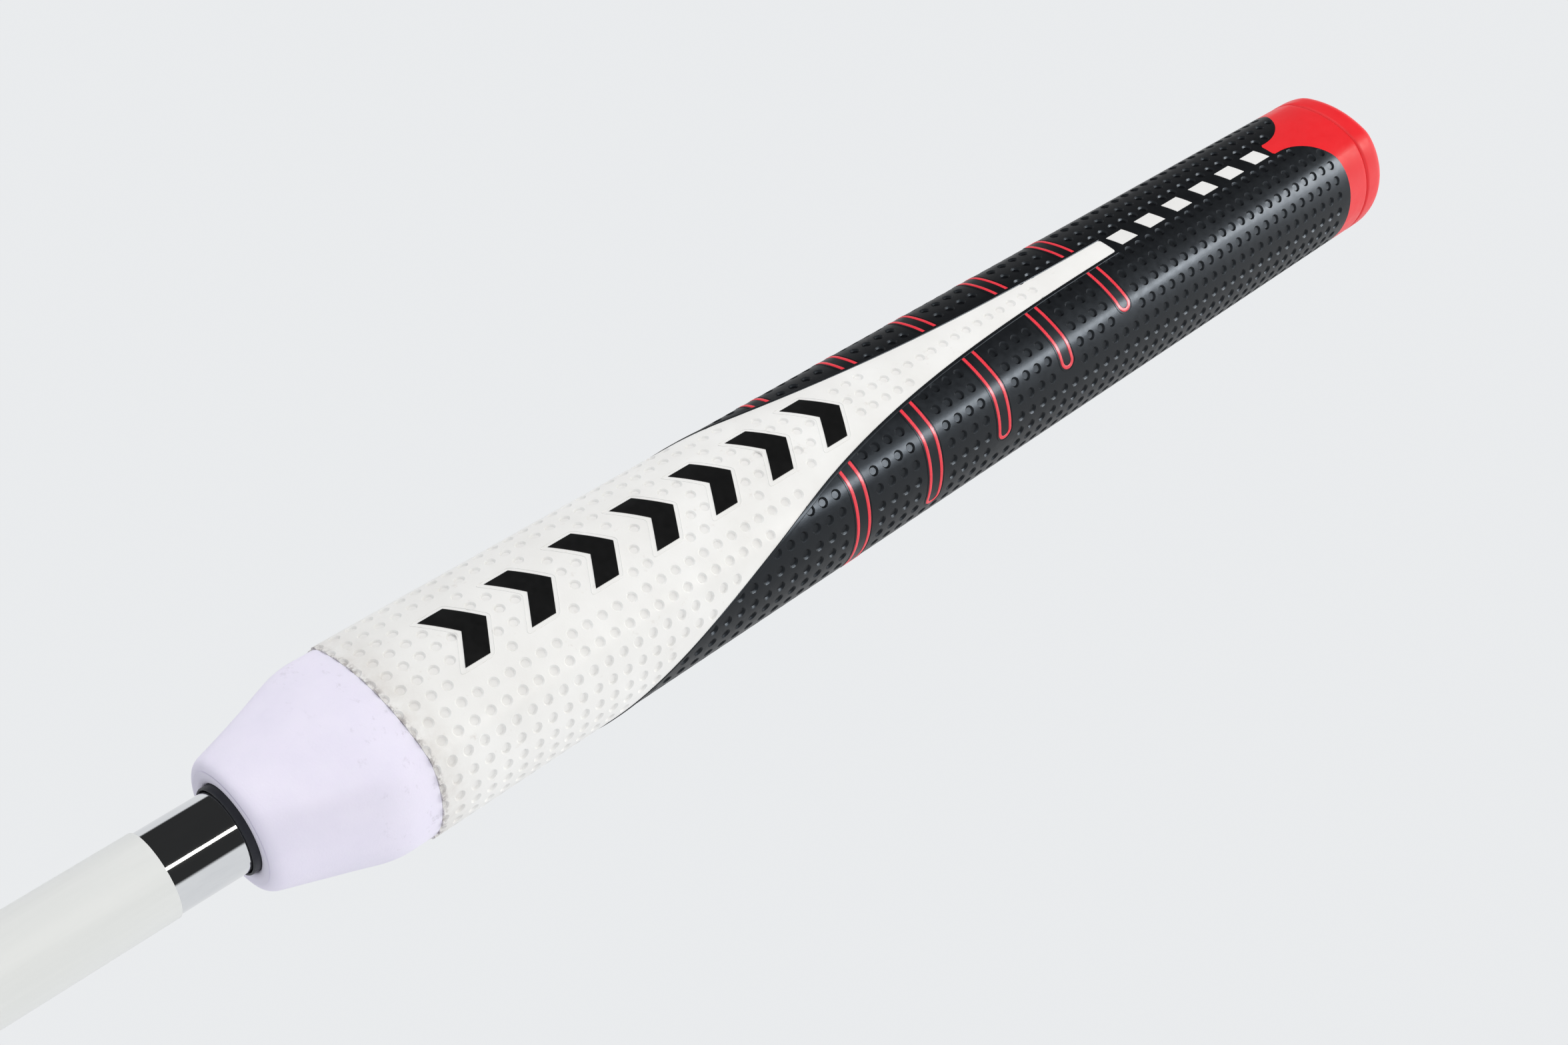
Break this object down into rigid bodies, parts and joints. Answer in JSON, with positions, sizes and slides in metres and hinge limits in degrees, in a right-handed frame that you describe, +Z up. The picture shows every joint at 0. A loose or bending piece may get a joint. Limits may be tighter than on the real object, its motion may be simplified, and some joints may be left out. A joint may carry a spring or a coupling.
{
  "type": "putter grip",
  "caption": "Oversize reverse-taper putter grip with a flat front, foam core, two-colour dimpled skin and butt cap, fitted on a cut length of chromed shaft.",
  "frame": {"origin": "centre of the shaft's cut lower end, on the shaft's axis", "axes": "+Z up the shaft's axis towards the butt cap, -Y out of the flat front of the grip, +X to the side"},
  "size_m": [0.0378, 0.0341, 0.362],
  "materials": {
    "chrome_plate": "polished",
    "white_film": "satin",
    "tape": "matte",
    "liner_rubber": "satin",
    "foam": "matte",
    "white_skin": "satin",
    "black_skin": "satin",
    "red_rubber": "satin",
    "red_inlay": "satin",
    "white_inlay": "satin",
    "black_inlay": "satin"
  },
  "bodies": {
    "root": {"alignment_tick_1": "white_inlay", "alignment_tick_2": "white_inlay", "alignment_tick_3": "white_inlay", "alignment_tick_4": "white_inlay", "alignment_tick_5": "white_inlay", "alignment_tick_6": "white_inlay", "bar_outline_left_1": "red_inlay", "bar_outline_left_2": "red_inlay", "bar_outline_left_3": "red_inlay", "bar_outline_left_4": "red_inlay", "bar_outline_left_5": "red_inlay", "bar_outline_right_1": "red_inlay", "bar_outline_right_2": "red_inlay", "bar_outline_right_3": "red_inlay", "bar_outline_right_4": "red_inlay", "bar_outline_right_5": "red_inlay", "black_skin": "black_skin", "butt_cap": "red_rubber", "core_liner": "liner_rubber", "foam_core": "foam", "front_chevron_1": "black_inlay", "front_chevron_2": "black_inlay", "front_chevron_3": "black_inlay", "front_chevron_4": "black_inlay", "front_chevron_5": "black_inlay", "front_chevron_6": "black_inlay", "front_chevron_7": "black_inlay", "grip_tape": "tape", "shaft_sleeve": "white_film", "shaft_tube": "chrome_plate", "white_panel": "white_skin"}
  },
  "joints": []
}
